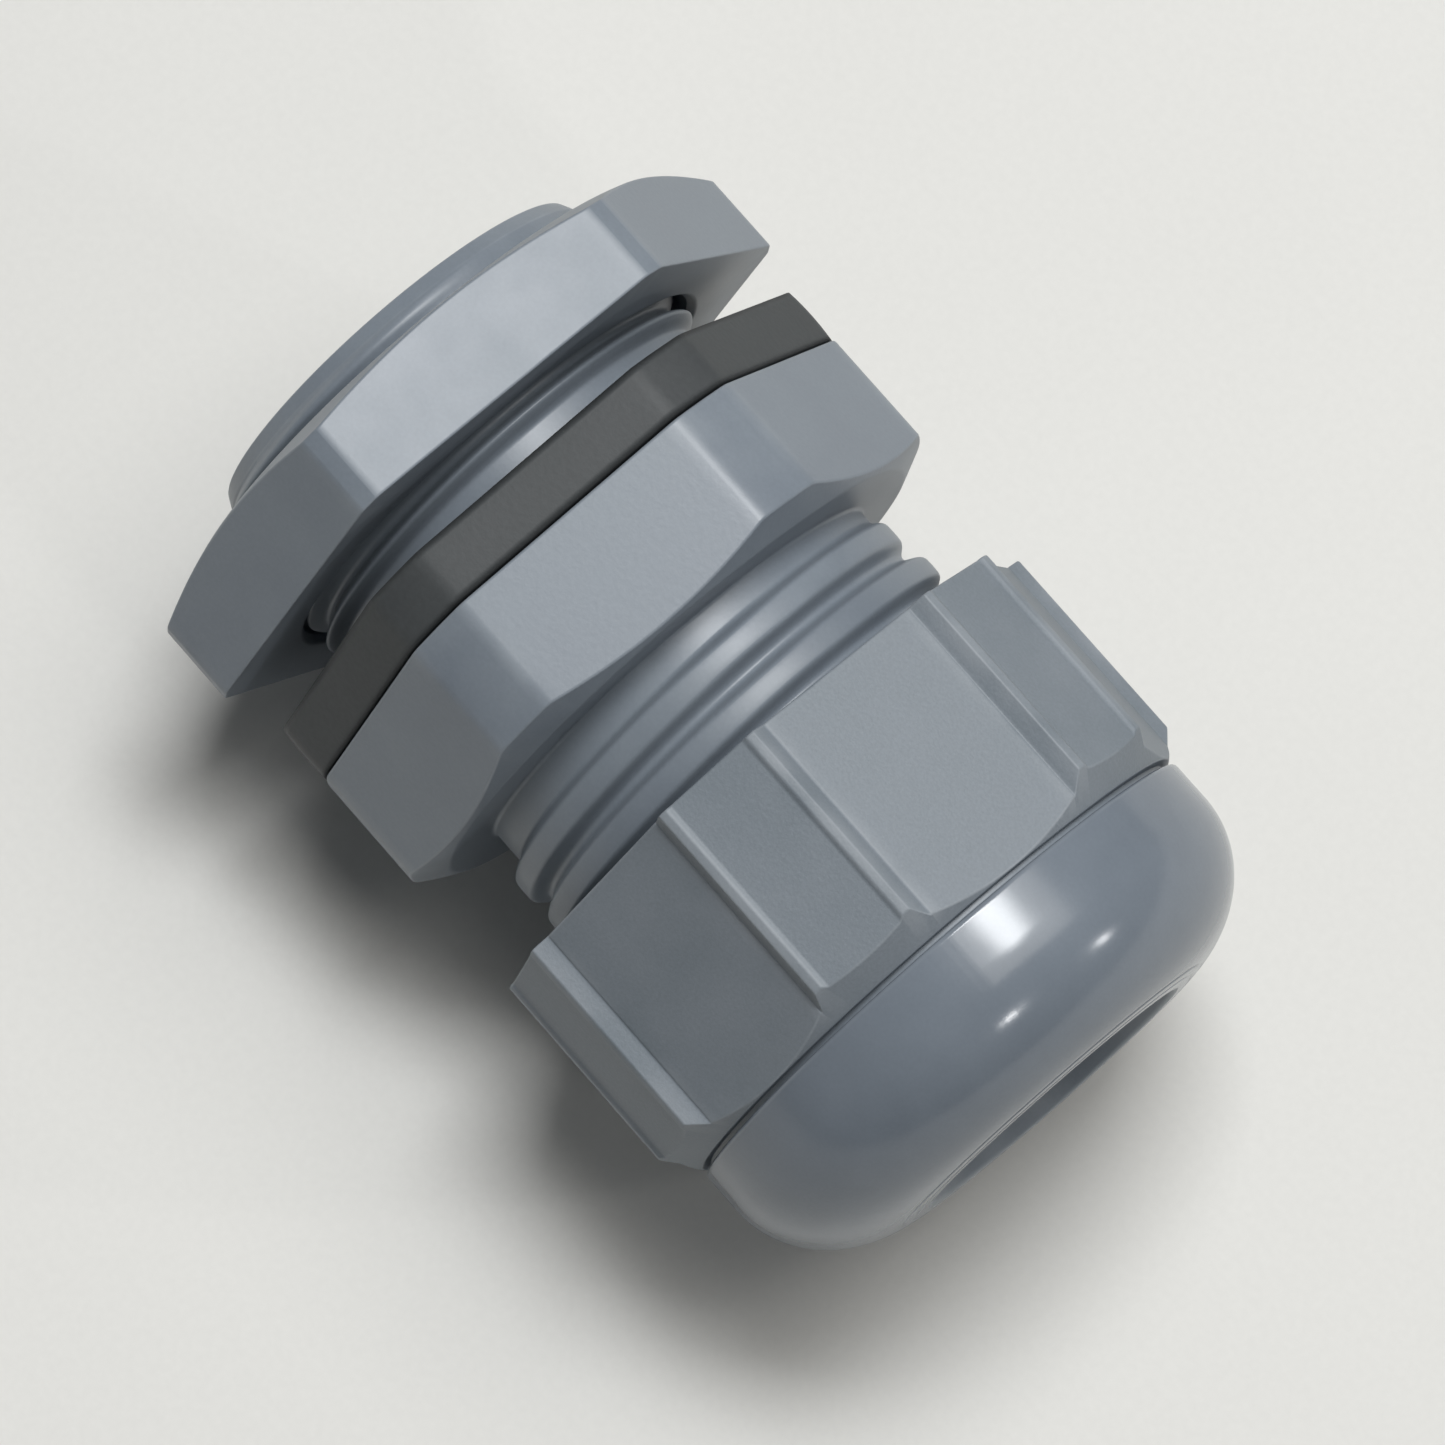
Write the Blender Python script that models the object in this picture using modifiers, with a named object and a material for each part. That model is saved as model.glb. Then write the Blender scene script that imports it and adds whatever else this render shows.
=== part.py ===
"""Cable gland: a dome-nut gland with a clamping cage, a sealing ring, a panel seal and a lock nut.

The gland lies along +X: the dome nut is at +X, the entry thread and its lock nut at -X.
The origin is on the axis, in the plane where the panel seal meets the panel. All sizes in metres.
"""
import math

import bmesh
import bpy

MM = 0.001

# Fits and clearances
TOUCH_GAP = 0.3 * MM          # between two faces that rest on each other
THREAD_GAP = 0.3 * MM         # radial, between a thread's crest and the facing root
CONE_GAP = 0.35 * MM          # between the lamellae and the cone that closes them
SLIDE_GAP = 0.3 * MM          # radial, between pieces that slide in each other

# Entry thread, M25 x 1.5
ENTRY_RADIUS = 12.45 * MM
ENTRY_DEPTH = 0.85 * MM
ENTRY_PITCH = 1.5 * MM
ENTRY_LENGTH = 11.0 * MM
ENTRY_WALL = 3.1 * MM
ENTRY_CREST_WIDTH = 0.2 * ENTRY_PITCH
ENTRY_ROOT_WIDTH = ENTRY_PITCH - 0.4 * MM
ENTRY_LEAD_IN = 0.8 * MM

# Cap thread on the body, coarse and rounded, and the cup inside it
CAP_RADIUS = 13.1 * MM
CAP_DEPTH = 0.9 * MM
CAP_PITCH = 2.5 * MM
CAP_CREST_WIDTH = 0.52 * CAP_PITCH
CAP_ROOT_WIDTH = CAP_PITCH - 0.4 * MM
CAP_NECK_LENGTH = 0.5 * MM
CAP_LEAD_IN = 0.8 * MM
CAP_THREAD_SHIFT = -0.5 * MM  # moves the cap thread along its own pitch
CAP_LENGTH = 13.8 * MM        # from the hexagon to the end of the body
CUP_WALL = 1.0 * MM
CUP_RADIUS = CAP_RADIUS - CAP_DEPTH - CUP_WALL
CUP_DEPTH = 10.5 * MM
CUP_LEDGE = 2.7 * MM          # the least that the cup's floor stands in from its wall
ENTRY_BORE_RADIUS = min(ENTRY_RADIUS - ENTRY_DEPTH - ENTRY_WALL, CUP_RADIUS - CUP_LEDGE)

# Panel seal and the hexagon of the body
BODY_SHOULDER = 2.4 * MM      # how far the flats stand out past the wider thread
BODY_FLATS = 2.0 * (max(CAP_RADIUS, ENTRY_RADIUS) + BODY_SHOULDER)
BODY_CORNER_RADIUS = BODY_FLATS / 2.0 + 1.45 * MM   # the corners are turned down to this
BODY_TURN_DEG = 7.2           # about +X, from a flat that faces +Z
SEAL_THICKNESS = 3.0 * MM
HEX_LENGTH = 7.4 * MM
HEX_CHAMFER = 0.9 * MM        # at the corners, along the axis
CHAMFER_INSET = 0.4 * MM      # how far inside the flats a chamfer starts on the end face
PANEL_THICKNESS = 3.0 * MM

# Lock nut
LOCK_WALL = 3.25 * MM         # at the flats, outside the thread
LOCK_FLATS = 2.0 * (ENTRY_RADIUS + THREAD_GAP + LOCK_WALL)
LOCK_CORNER_RADIUS = LOCK_FLATS / 2.0 + 2.2 * MM
LOCK_THICKNESS = 5.5 * MM
LOCK_CHAMFER = 1.0 * MM

# Ridges of the internal threads, narrower than the grooves that they run in
LOCK_RIDGE_TIP = ENTRY_PITCH - ENTRY_ROOT_WIDTH - 0.2 * MM
LOCK_RIDGE_ROOT = ENTRY_PITCH - ENTRY_CREST_WIDTH - 0.5 * MM
NUT_RIDGE_TIP = CAP_PITCH - CAP_ROOT_WIDTH - 0.15 * MM
NUT_RIDGE_ROOT = CAP_PITCH - CAP_CREST_WIDTH - 0.45 * MM

# Clamping cage
CAGE_RADIUS = CUP_RADIUS - SLIDE_GAP
CAGE_WALL = 1.6 * MM
HINGE_SETBACK = 2.2 * MM      # from the body's end in to the lamellae's hinges
CAGE_BASE_LENGTH = CUP_DEPTH - HINGE_SETBACK - 2.0 * TOUCH_GAP
LAMELLA_COUNT = 12
LAMELLA_ARC_DEG = 20.0
LAMELLA_THICKNESS = 1.4 * MM
LAMELLA_FLARE = 0.95 * MM     # how far the tip's inside stands out from the root's
LAMELLA_TIP_LIFT = 0.2 * MM   # more room for the sealing ring at the tip
LAMELLA_REACH = 1.3 * MM      # how far the tip reaches past the start of the cone
HINGE_RADIUS = CAGE_RADIUS - LAMELLA_THICKNESS / 2.0

# Sealing ring
RING_RADIUS = HINGE_RADIUS - 2.3 * MM
RING_WALL = 1.6 * MM
RING_BORE_RADIUS = RING_RADIUS - RING_WALL
RING_FLANGE_RADIUS = RING_RADIUS + 1.0 * MM
RING_FLANGE_LENGTH = 2.6 * MM
RING_CHAMFER = 0.6 * MM

# Dome nut
NUT_ENGAGEMENT = 7.1 * MM     # how far the nut is screwed over the body's end, as it is now
NUT_STANDOFF = CAP_LENGTH - NUT_ENGAGEMENT
NUT_WALL = 1.5 * MM           # outside the thread, at the groove
GROOVE_WIDTH = 0.3 * MM
GROOVE_DEPTH = 0.6 * MM       # below the middle of a flat
GROOVE_RADIUS = CAP_RADIUS + THREAD_GAP + NUT_WALL
NUT_FLATS = 2.0 * (GROOVE_RADIUS + GROOVE_DEPTH)
NUT_GRIP_LENGTH = 12.95 * MM
NUT_TURN_DEG = -10.6          # about +X, from a flat that faces +Z
RIB_RADIUS = NUT_FLATS / 2.0 + 1.6 * MM
RIB_FOOT_DEG = 18.0           # from the middle of a flat, where the flat ends
RIB_TOP_START_DEG = 20.4
RIB_TOP_END_DEG = 21.7
PANEL_EDGE_DEG = 22.5
CORNER_PANEL_RADIUS = NUT_FLATS / 2.0 + 1.35 * MM
GRIP_CHAMFER_SLOPE = 1.0     # along the axis for each unit of radius
DOME_RADIUS = GROOVE_RADIUS + 0.65 * MM
DOME_LENGTH = 8.5 * MM
DOME_STRAIGHT = 2.35 * MM
THROAT_RADIUS = RING_RADIUS - 0.5 * MM
MOUTH_RADIUS = THROAT_RADIUS + 0.6 * MM
DOME_END_RADIUS = MOUTH_RADIUS + 0.6 * MM
LIP_LENGTH = 2.6 * MM
CONE_ANGLE_DEG = 25.0
CONE_STEP = 0.6 * MM          # how far the cone starts inside the thread's root
CONE_START_RADIUS = CAP_RADIUS + THREAD_GAP - CONE_STEP
CONE_LENGTH = 6.8 * MM
NUT_THREAD_LENGTH = 8.0 * MM
RIM_STEP = 0.5 * MM           # depth of the step inside the nut's rim

# Facets
ROUND_STEPS = 60
HALF_FACET_DEG = 180.0 / ROUND_STEPS   # turns a cutter so that its edges miss the corners
HELIX_STEPS = 30
ARC_STEPS = 8
LAMELLA_STEPS = 4
BURY = 0.25 * MM              # how deep a thread's ridge is sunk in its core
FADED_BURY = 0.6              # share of that depth of a ridge's top where it has faded out
PAST = 1.0 * MM               # how far a cutter reaches past what it cuts

# Stations along the axis
HEX_START = SEAL_THICKNESS + TOUCH_GAP
HEX_END = HEX_START + HEX_LENGTH
BODY_END = HEX_END + CAP_LENGTH
CUP_FLOOR = BODY_END - CUP_DEPTH
NUT_START = HEX_END + NUT_STANDOFF
GRIP_END = NUT_START + NUT_GRIP_LENGTH
DOME_START = GRIP_END + GROOVE_WIDTH
NUT_END = DOME_START + DOME_LENGTH
LIP_START = NUT_END - LIP_LENGTH
CONE_START = LIP_START - CONE_LENGTH
CAGE_START = CUP_FLOOR + TOUCH_GAP
CAGE_END = CAGE_START + CAGE_BASE_LENGTH
HINGE_X = CAGE_END + TOUCH_GAP
LAMELLA_LENGTH = CONE_START + LAMELLA_REACH - HINGE_X
RING_START = HINGE_X + TOUCH_GAP
RING_END = LIP_START - TOUCH_GAP
LOCK_END = -PANEL_THICKNESS

OBJECT_NAME = "cable_gland"


def clear_scene():
    for item in list(bpy.data.objects):
        bpy.data.objects.remove(item, do_unlink=True)
    for group in list(bpy.data.collections):
        bpy.data.collections.remove(group)


def new_collection(name):
    group = bpy.data.collections.new(name)
    bpy.context.scene.collection.children.link(group)
    return group


def add_object(name, mesh, group):
    item = bpy.data.objects.new(name, mesh)
    group.objects.link(item)
    return item


def lay_along_x(item):
    """Turn a piece that was made about its own Z so that it lies along +X."""
    item.rotation_euler = (0.0, math.pi / 2.0, 0.0)


def make_material(name, colour, roughness, metallic=0.0):
    material = bpy.data.materials.new(name)
    material.use_nodes = True
    shader = material.node_tree.nodes["Principled BSDF"]
    shader.inputs["Base Color"].default_value = (*colour, 1.0)
    shader.inputs["Roughness"].default_value = roughness
    shader.inputs["Metallic"].default_value = metallic
    return material


def polar(radius, angle_deg):
    angle = math.radians(angle_deg)
    return (radius * math.cos(angle), radius * math.sin(angle))


def turned(name, profile, group, start_deg=0.0):
    """Turn an (axial, radius) profile about Z; it runs from the +Z end to the -Z end outside."""
    closed = min(radius for _, radius in profile) > 0.0
    mesh = bpy.data.meshes.new(name)
    points = [(*polar(radius, start_deg), axial) for axial, radius in profile]
    edges = [(i, i + 1) for i in range(len(points) - 1)]
    if closed:
        edges.append((len(points) - 1, 0))
    mesh.from_pydata(points, edges, [])
    item = add_object(name, mesh, group)
    screw = item.modifiers.new("turn", "SCREW")
    screw.axis = "Z"
    screw.steps = ROUND_STEPS
    screw.render_steps = ROUND_STEPS
    screw.use_merge_vertices = True
    screw.merge_threshold = 1e-6
    screw.use_smooth_shade = False
    return item


def prism(name, outline, low, high, group):
    """Extrude a closed (x, y) outline from low to high along Z."""
    mesh = bpy.data.meshes.new(name)
    shape = bmesh.new()
    face = shape.faces.new([shape.verts.new((x, y, low)) for x, y in outline])
    grown = bmesh.ops.extrude_face_region(shape, geom=[face])
    tops = [part for part in grown["geom"] if isinstance(part, bmesh.types.BMVert)]
    bmesh.ops.translate(shape, verts=tops, vec=(0.0, 0.0, high - low))
    bmesh.ops.recalc_face_normals(shape, faces=shape.faces)
    shape.to_mesh(mesh)
    shape.free()
    return add_object(name, mesh, group)


def hexagon(across_flats, turn_deg=0.0):
    """A hexagon with a flat facing -X, which faces +Z once the piece lies along +X."""
    corner = across_flats / 2.0 / math.cos(math.radians(30.0))
    return [polar(corner, turn_deg + 30.0 + 60.0 * i) for i in range(6)]


def helix_ridge(name, root, crest, root_width, crest_width, pitch, low, high, shift, group):
    """A thread's ridge wound about Z from low to high, closed at both ends.

    root and crest are radii, so crest > root winds an outside thread and crest < root an inside
    one. shift moves the helix along its own pitch. The ridge fades in and out over a third of a
    turn.
    """
    outside = 1.0 if crest > root else -1.0
    buried = root - outside * BURY
    flank = (root_width - crest_width) / abs(crest - root)
    buried_width = root_width + flank * BURY
    first = math.ceil((low - shift) / pitch * HELIX_STEPS)
    last = math.floor((high - shift) / pitch * HELIX_STEPS)
    fade_steps = HELIX_STEPS / 3.0
    shape = bmesh.new()
    loops = []
    for step in range(first, last + 1):
        angle = 2.0 * math.pi * step / HELIX_STEPS
        centre = shift + pitch * step / HELIX_STEPS
        fade = min(1.0, (step - first) / fade_steps, (last - step) / fade_steps)
        top = root + (crest - root) * fade - outside * BURY * FADED_BURY * (1.0 - fade)
        section = [
            (buried, -buried_width / 2.0),
            (top, -crest_width / 2.0),
            (top, crest_width / 2.0),
            (buried, buried_width / 2.0),
        ]
        ring = [
            shape.verts.new((radius * math.cos(angle), radius * math.sin(angle), centre + along))
            for radius, along in section
        ]
        loops.append(ring)
    for ring, following in zip(loops, loops[1:]):
        for i in range(len(ring)):
            j = (i + 1) % len(ring)
            shape.faces.new((ring[i], ring[j], following[j], following[i]))
    shape.faces.new(loops[0])
    shape.faces.new(loops[-1])
    bmesh.ops.recalc_face_normals(shape, faces=shape.faces)
    mesh = bpy.data.meshes.new(name)
    shape.to_mesh(mesh)
    shape.free()
    return add_object(name, mesh, group)


def drill(name, radius, low, high, group):
    """A cylinder along Z that reaches past both ends of what it cuts."""
    return turned(name, [
        (high + PAST, 0.0),
        (high + PAST, radius),
        (low - PAST, radius),
        (low - PAST, 0.0),
    ], group)


def combine(target, other, operation):
    step = target.modifiers.new(operation.lower() + "_" + other.name, "BOOLEAN")
    step.operation = operation
    step.solver = "EXACT"
    step.object = other
    other.hide_render = True
    other.display_type = "WIRE"


def finish(item, material):
    """Lay a piece and what cuts or joins it along +X, and give it its material."""
    lay_along_x(item)
    for step in item.modifiers:
        if step.type == "BOOLEAN":
            lay_along_x(step.object)
    item.data.materials.append(material)


def chamfered_hexagon(name, outline, start, corner, low, high, chamfer_low, chamfer_high, parts,
                      cutters):
    """A hexagonal prism turned down to a corner radius, with a cone at each chamfered end.

    The cone starts at the radius start on the end face and reaches the corner radius a chamfer
    length further in. An end with no chamfer is left square.
    """
    slope_high = chamfer_high / (corner - start)
    slope_low = chamfer_low / (corner - start)
    clear_high = 0.0 if chamfer_high else PAST
    clear_low = 0.0 if chamfer_low else PAST
    limit = turned(name + "_chamfer", [
        (high + slope_high * start + clear_high, 0.0),
        (high - chamfer_high + clear_high, corner),
        (low + chamfer_low - clear_low, corner),
        (low - slope_low * start - clear_low, 0.0),
    ], cutters, HALF_FACET_DEG)
    block = prism(name, outline, low, high, parts)
    combine(block, limit, "INTERSECT")
    return block


def make_body(parts, cutters, material):
    """The body: hexagon, entry thread at -X, cap thread and cup at +X, one bore through it."""
    body = chamfered_hexagon(
        "gland_body", hexagon(BODY_FLATS, BODY_TURN_DEG), BODY_FLATS / 2.0 - CHAMFER_INSET,
        BODY_CORNER_RADIUS, HEX_START, HEX_END, 0.0, HEX_CHAMFER, parts, cutters)
    entry_core = ENTRY_RADIUS - ENTRY_DEPTH
    cap_core = CAP_RADIUS - CAP_DEPTH
    middle = (HEX_START + HEX_END) / 2.0
    core = turned("gland_core", [
        (BODY_END, 0.0),
        (BODY_END, cap_core - CAP_LEAD_IN / 2.0),
        (BODY_END - CAP_LEAD_IN, cap_core),
        (middle, cap_core),
        (middle, entry_core),
        (-ENTRY_LENGTH + ENTRY_LEAD_IN, entry_core),
        (-ENTRY_LENGTH, entry_core - ENTRY_LEAD_IN / 2.0),
        (-ENTRY_LENGTH, 0.0),
    ], cutters)
    combine(body, core, "UNION")
    entry_thread = helix_ridge(
        "entry_thread", entry_core, ENTRY_RADIUS, ENTRY_ROOT_WIDTH, ENTRY_CREST_WIDTH,
        ENTRY_PITCH, -ENTRY_LENGTH + ENTRY_ROOT_WIDTH, -ENTRY_ROOT_WIDTH, 0.0, cutters)
    combine(body, entry_thread, "UNION")
    cap_thread = helix_ridge(
        "cap_thread", cap_core, CAP_RADIUS, CAP_ROOT_WIDTH, CAP_CREST_WIDTH, CAP_PITCH,
        HEX_END + CAP_NECK_LENGTH + CAP_ROOT_WIDTH / 2.0,
        BODY_END - CAP_LEAD_IN - CAP_ROOT_WIDTH / 2.0, CAP_THREAD_SHIFT, cutters)
    combine(body, cap_thread, "UNION")
    bore = turned("gland_bore", [
        (BODY_END + PAST, 0.0),
        (BODY_END + PAST, CUP_RADIUS),
        (CUP_FLOOR, CUP_RADIUS),
        (CUP_FLOOR, ENTRY_BORE_RADIUS),
        (-ENTRY_LENGTH - PAST, ENTRY_BORE_RADIUS),
        (-ENTRY_LENGTH - PAST, 0.0),
    ], cutters, HALF_FACET_DEG)
    combine(body, bore, "DIFFERENCE")
    finish(body, material)
    return body


def make_panel_seal(parts, cutters, material):
    """A flat gasket with the body's hexagonal outline, pressed between body and panel."""
    seal = chamfered_hexagon(
        "panel_seal", hexagon(BODY_FLATS, BODY_TURN_DEG), BODY_FLATS / 2.0 - CHAMFER_INSET,
        BODY_CORNER_RADIUS, 0.0, SEAL_THICKNESS, 0.0, 0.0, parts, cutters)
    hole = drill("panel_seal_hole", ENTRY_RADIUS + SLIDE_GAP, 0.0, SEAL_THICKNESS, cutters)
    combine(seal, hole, "DIFFERENCE")
    finish(seal, material)
    return seal


def make_lock_nut(parts, cutters, material):
    """The hexagonal nut on the entry thread, behind the panel."""
    start = LOCK_END - LOCK_THICKNESS
    nut = chamfered_hexagon(
        "lock_nut", hexagon(LOCK_FLATS), LOCK_FLATS / 2.0 - CHAMFER_INSET, LOCK_CORNER_RADIUS,
        start, LOCK_END, LOCK_CHAMFER, 0.0, parts, cutters)
    root = ENTRY_RADIUS + THREAD_GAP
    crest = ENTRY_RADIUS - ENTRY_DEPTH + THREAD_GAP
    hole = drill("lock_nut_hole", root, start, LOCK_END, cutters)
    combine(nut, hole, "DIFFERENCE")
    ridge = helix_ridge(
        "lock_nut_thread", root, crest, LOCK_RIDGE_ROOT, LOCK_RIDGE_TIP, ENTRY_PITCH,
        start + LOCK_RIDGE_ROOT, LOCK_END - LOCK_RIDGE_ROOT, ENTRY_PITCH / 2.0, cutters)
    combine(nut, ridge, "UNION")
    finish(nut, material)
    return nut


def grip_outline():
    """The grip: six wide flats, each between two ribs, with a narrow panel at each corner."""
    flat_radius = NUT_FLATS / 2.0 / math.cos(math.radians(RIB_FOOT_DEG))
    half_sector = [
        (flat_radius, RIB_FOOT_DEG),
        (RIB_RADIUS, RIB_TOP_START_DEG),
        (RIB_RADIUS, RIB_TOP_END_DEG),
        (CORNER_PANEL_RADIUS, PANEL_EDGE_DEG),
    ]
    outline = []
    for flat in range(6):
        middle = 180.0 + NUT_TURN_DEG + 60.0 * flat
        outline += [polar(radius, middle - angle) for radius, angle in reversed(half_sector)]
        outline += [polar(radius, middle + angle) for radius, angle in half_sector]
    return outline


def dome_profile():
    """The dome's outside from its mouth back to the groove: a quarter ellipse and a short wall."""
    arc_length = DOME_LENGTH - DOME_STRAIGHT
    arc_depth = DOME_RADIUS - DOME_END_RADIUS
    points = []
    for i in range(ARC_STEPS + 1):
        angle = math.pi / 2.0 * (1.0 - i / ARC_STEPS)
        along = NUT_END - arc_length + arc_length * math.sin(angle)
        points.append((along, DOME_END_RADIUS + arc_depth * math.cos(angle)))
    points.append((DOME_START, DOME_RADIUS))
    return points


def make_dome_nut(parts, cutters, material):
    """The dome nut: ribbed grip, groove and dome outside; thread, cone, lip and mouth inside.

    The grip is a ring with the ribbed outline. The shell is one turned ring that carries the
    dome, reaches back inside the grip and ends in a step at the nut's rim.
    """
    thread_root = CAP_RADIUS + THREAD_GAP
    thread_crest = CAP_RADIUS - CAP_DEPTH + THREAD_GAP
    chamfer_start = NUT_FLATS / 2.0
    reach = RIB_RADIUS + PAST
    nut = prism("dome_nut", grip_outline(), NUT_START, GRIP_END, parts)
    limit = turned("grip_chamfer", [
        (GRIP_END + GRIP_CHAMFER_SLOPE * chamfer_start, 0.0),
        (GRIP_END - GRIP_CHAMFER_SLOPE * (reach - chamfer_start), reach),
        (NUT_START - PAST, reach),
        (NUT_START - PAST, 0.0),
    ], cutters, HALF_FACET_DEG)
    combine(nut, limit, "INTERSECT")
    hole = drill("grip_hole", (thread_root + GROOVE_RADIUS) / 2.0, NUT_START, GRIP_END, cutters)
    combine(nut, hole, "DIFFERENCE")
    cone_end_radius = CONE_START_RADIUS - CONE_LENGTH * math.tan(math.radians(CONE_ANGLE_DEG))
    shell = turned("dome_shell", dome_profile() + [
        (DOME_START, GROOVE_RADIUS),
        (NUT_START + RIM_STEP, GROOVE_RADIUS),
        (NUT_START + RIM_STEP, thread_root),
        (CONE_START - (thread_root - CONE_START_RADIUS), thread_root),
        (CONE_START, CONE_START_RADIUS),
        (LIP_START, cone_end_radius),
        (LIP_START, THROAT_RADIUS),
        (NUT_END - LIP_LENGTH / 2.0, THROAT_RADIUS),
        (NUT_END, MOUTH_RADIUS),
    ], cutters)
    combine(nut, shell, "UNION")
    ridge = helix_ridge(
        "nut_thread", thread_root, thread_crest, NUT_RIDGE_ROOT, NUT_RIDGE_TIP, CAP_PITCH,
        NUT_START + RIM_STEP + NUT_RIDGE_ROOT, NUT_START + NUT_THREAD_LENGTH,
        CAP_THREAD_SHIFT + CAP_PITCH / 2.0, cutters)
    combine(nut, ridge, "UNION")
    finish(nut, material)
    return nut


def make_cage_base(parts, material):
    """The closed end of the clamping cage, seated in the body's cup."""
    inner = CAGE_RADIUS - CAGE_WALL
    base = turned("cage_base", [
        (CAGE_END, CAGE_RADIUS),
        (CAGE_START, CAGE_RADIUS),
        (CAGE_START, inner),
        (CAGE_END, inner),
    ], parts)
    finish(base, material)
    return base


def lamella_profile():
    """A lamella's section in (axial, radius), measured from its hinge at the cage's base."""
    root_out = LAMELLA_THICKNESS / 2.0
    root_in = -LAMELLA_THICKNESS / 2.0
    start = TOUCH_GAP / 2.0
    cup_mouth = BODY_END + TOUCH_GAP - HINGE_X
    slope = math.tan(math.radians(CONE_ANGLE_DEG))
    shoulder = CONE_START - HINGE_X
    tip = LAMELLA_LENGTH

    def cone_line(along):
        radius = CONE_START_RADIUS - slope * (HINGE_X + along - CONE_START)
        return min(radius, CONE_START_RADIUS) - CONE_GAP - HINGE_RADIUS

    return [
        (start, root_out),
        (cup_mouth, root_out),
        (shoulder, cone_line(shoulder)),
        (tip, cone_line(tip)),
        (tip, root_in + LAMELLA_FLARE + LAMELLA_TIP_LIFT),
        (start, root_in),
    ]


def make_lamella(name, position_deg, mesh, parts):
    """One finger of the cage; its origin lies on the line that it bends about."""
    item = add_object(name, mesh, parts)
    angle = math.radians(position_deg)
    item.location = (HINGE_X, HINGE_RADIUS * math.sin(angle), HINGE_RADIUS * math.cos(angle))
    item.rotation_euler = (-angle, 0.0, 0.0)
    return item


def lamella_mesh(material):
    """Sweep the lamella's section through its arc about the gland's axis."""
    shape = bmesh.new()
    half_arc = math.radians(LAMELLA_ARC_DEG / 2.0)
    section = lamella_profile()
    loops = []
    for i in range(LAMELLA_STEPS + 1):
        angle = -half_arc + 2.0 * half_arc * i / LAMELLA_STEPS
        loops.append([
            shape.verts.new((
                along,
                (HINGE_RADIUS + height) * math.sin(angle),
                (HINGE_RADIUS + height) * math.cos(angle) - HINGE_RADIUS,
            ))
            for along, height in section
        ])
    for ring, following in zip(loops, loops[1:]):
        for i in range(len(ring)):
            j = (i + 1) % len(ring)
            shape.faces.new((ring[i], ring[j], following[j], following[i]))
    shape.faces.new(loops[0])
    shape.faces.new(loops[-1])
    bmesh.ops.recalc_face_normals(shape, faces=shape.faces)
    mesh = bpy.data.meshes.new("lamella")
    shape.to_mesh(mesh)
    shape.free()
    mesh.materials.append(material)
    return mesh


def make_sealing_ring(parts, material):
    """The rubber ring round the cable, inside the lamellae, pushed in by the dome's lip."""
    flange_end = RING_START + RING_FLANGE_LENGTH
    ring = turned("sealing_ring", [
        (RING_END, RING_RADIUS - RING_CHAMFER),
        (RING_END - RING_CHAMFER, RING_RADIUS),
        (flange_end, RING_RADIUS),
        (flange_end, RING_FLANGE_RADIUS),
        (RING_START, RING_FLANGE_RADIUS),
        (RING_START, RING_BORE_RADIUS + RING_CHAMFER),
        (RING_START + RING_CHAMFER, RING_BORE_RADIUS),
        (RING_END - RING_CHAMFER, RING_BORE_RADIUS),
        (RING_END, RING_BORE_RADIUS + RING_CHAMFER / 2.0),
    ], parts)
    finish(ring, material)
    return ring


def shade(items):
    for item in items:
        item.data.shade_smooth()
        item.data.set_sharp_from_angle(angle=math.radians(30.0))


def main():
    clear_scene()
    parts = new_collection(OBJECT_NAME)
    cutters = new_collection(OBJECT_NAME + "_cutters")
    grey = make_material("grey_polyamide", (0.216, 0.246, 0.270), 0.45)
    dark = make_material("grey_rubber", (0.070, 0.076, 0.080), 0.7)
    black = make_material("black_rubber", (0.020, 0.020, 0.021), 0.6)
    pale = make_material("natural_polyamide", (0.180, 0.200, 0.215), 0.5)

    body = make_body(parts, cutters, grey)
    seal = make_panel_seal(parts, cutters, dark)
    lock = make_lock_nut(parts, cutters, grey)
    nut = make_dome_nut(parts, cutters, grey)
    cage = make_cage_base(parts, pale)
    finger = lamella_mesh(pale)
    fingers = [
        make_lamella(f"lamella_{i + 1:02d}", 360.0 / LAMELLA_COUNT * i, finger, parts)
        for i in range(LAMELLA_COUNT)
    ]
    ring = make_sealing_ring(parts, black)
    shade([body, seal, lock, nut, cage, ring] + fingers)


main()
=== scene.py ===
"""Looks of a dome-nut cable gland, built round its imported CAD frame.

The gland lies along +X with the dome nut at +X and the entry thread at -X. Sizes in the classes are
in millimetres; meshes are written in metres. Every piece is a surface worked out on a grid of
columns round the gland's axis and rows along a closed section.
"""

import logging
import math
from dataclasses import dataclass, field
from enum import Enum, IntEnum

import bpy
import numpy as np
from mathutils import Matrix, Vector


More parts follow.
